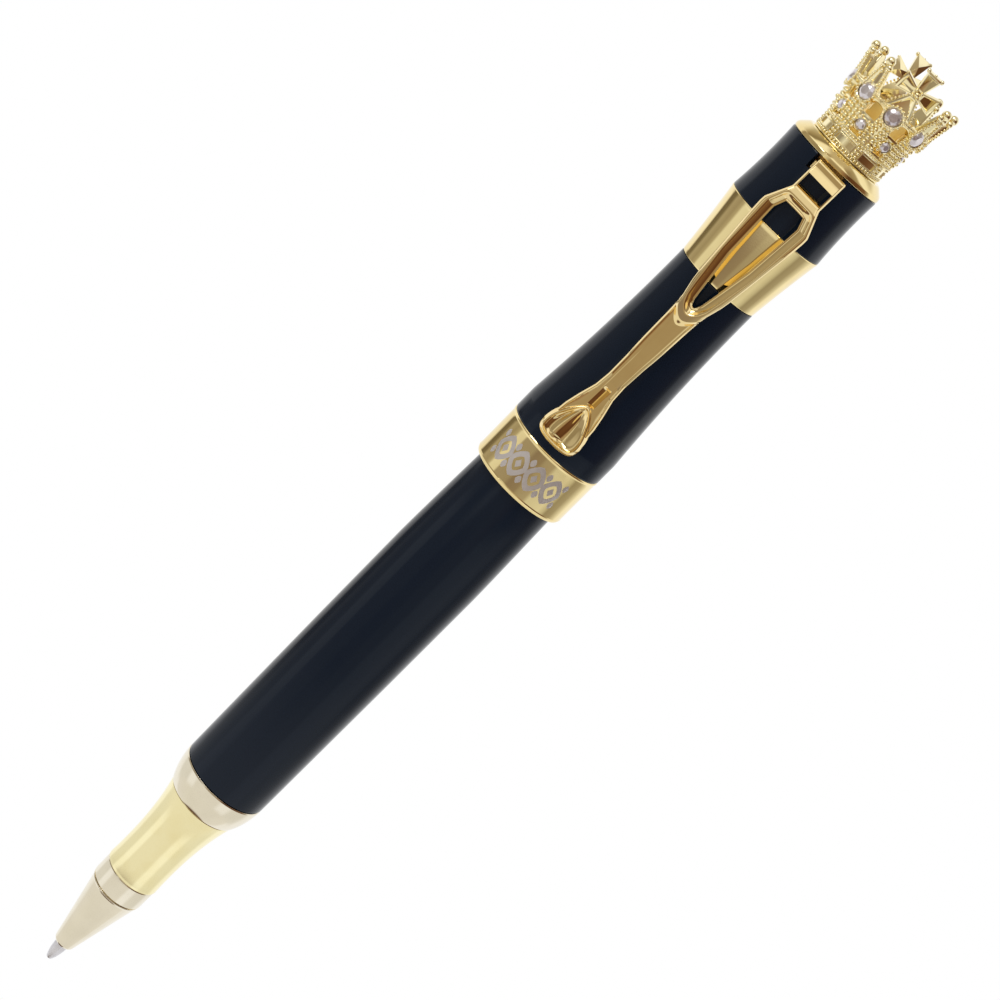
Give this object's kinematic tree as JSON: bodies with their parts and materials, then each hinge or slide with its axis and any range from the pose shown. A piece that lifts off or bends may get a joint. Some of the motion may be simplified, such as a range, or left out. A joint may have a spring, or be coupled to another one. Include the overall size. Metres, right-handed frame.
{
  "type": "rollerball pen",
  "caption": "Capped rollerball pen, shown posted: black lacquered barrel and cap, gold trim and clip, metal grip, and a jewelled crown finial.",
  "frame": {"origin": "on the pen's axis, in the middle of the cylindrical stretch of barrel where the pen is held", "axes": "+Z along the pen from the writing point to the crown, with the clip towards -Y"},
  "size_m": [0.0134, 0.0154, 0.1576],
  "materials": {
    "ball_carbide": "polished",
    "point_steel": "satin",
    "refill_black": "matt",
    "feed_fibre": "fibrous",
    "refill_grey": "smooth",
    "ink_black": "wet",
    "plug_white": "smooth",
    "spring_steel": "drawn wire",
    "champagne_gold": "polished plate",
    "grip_gold": "fine satin plate",
    "seal_rubber": "matt",
    "black_lacquer": "gloss lacquer over brass",
    "turned_brass": "machined",
    "polished_gold": "mirror plate",
    "clip_gold": "mirror plate",
    "clutch_plastic": "moulded",
    "liner_plastic": "moulded",
    "crown_gold": "bright cast plate",
    "crystal": "cut"
  },
  "bodies": {
    "barrel": {"barrel_tube": "black_lacquer", "barrel_bush": "turned_brass", "barrel_plug": "polished_gold", "refill_spring": "spring_steel"},
    "collar": {"section_collar": "champagne_gold"},
    "section": {"nose_cone": "champagne_gold", "nose_ring": "champagne_gold", "grip_section": "grip_gold", "section_o_ring": "seal_rubber"},
    "refill": {"refill_point": "point_steel", "refill_nose": "refill_black", "refill_feed": "feed_fibre", "refill_tube": "refill_grey", "refill_ink": "ink_black", "refill_plug": "plug_white"},
    "ball": {"writing_ball": "ball_carbide"},
    "clutch": {"clutch_ring": "clutch_plastic"},
    "cap": {"cap_band": "polished_gold", "cap_tube": "black_lacquer", "cap_ring": "polished_gold", "cap_top": "black_lacquer", "cap_liner": "liner_plastic", "cap_insert": "turned_brass", "clip_bracket": "turned_brass"},
    "clip": {"clip": "clip_gold"},
    "finial": {"finial_ring": "polished_gold"},
    "crown": {"crown": "crown_gold", "crown_stud": "turned_brass", "crown_stones": "crystal", "crown_small_stones": "crystal"}
  },
  "joints": [
    {"name": "cap_pull", "type": "slide", "parent": "barrel", "child": "clutch", "axis": [0, 0, 1], "range_m": [0, 0.034]},
    {"name": "cap_turn", "type": "hinge", "parent": "clutch", "child": "cap", "pos_m": [0, 0, 0], "axis": [0, 0, 1], "continuous": true},
    {"name": "clip_flex", "type": "hinge", "parent": "cap", "child": "clip", "pos_m": [0, -0.0036, 0.07395], "axis": [-1, 0, 0], "range_deg": [0, 5], "stiffness_Nm_per_rad": 0.2},
    {"name": "finial_lift", "type": "slide", "parent": "cap", "child": "finial", "axis": [0, 0, 1], "range_m": [0, 0.0035]},
    {"name": "crown_unscrew", "type": "hinge", "parent": "finial", "child": "crown", "pos_m": [0, 0, 0], "axis": [0, 0, 1], "range_deg": [0, 1800]},
    {"name": "section_slide", "type": "slide", "parent": "barrel", "child": "collar", "axis": [0, 0, -1], "range_m": [0, 0.006]},
    {"name": "section_unscrew", "type": "hinge", "parent": "collar", "child": "section", "pos_m": [0, 0, 0], "axis": [0, 0, -1], "range_deg": [0, 2160]},
    {"name": "refill_push", "type": "slide", "parent": "section", "child": "refill", "axis": [0, 0, 1], "range_m": [0, 0.0015], "stiffness_N_per_m": 300, "springref_m": -0.001, "deforming": ["refill_spring"]},
    {"name": "ball_roll", "type": "hinge", "parent": "refill", "child": "ball", "pos_m": [0, 0, -0.06715], "axis": [1, 0, 0], "continuous": true}
  ],
  "couplings": [
    {"joint": "section_unscrew", "follows": "section_slide", "rad_per_m": 6283.1},
    {"joint": "crown_unscrew", "follows": "finial_lift", "rad_per_m": 8975.9}
  ]
}
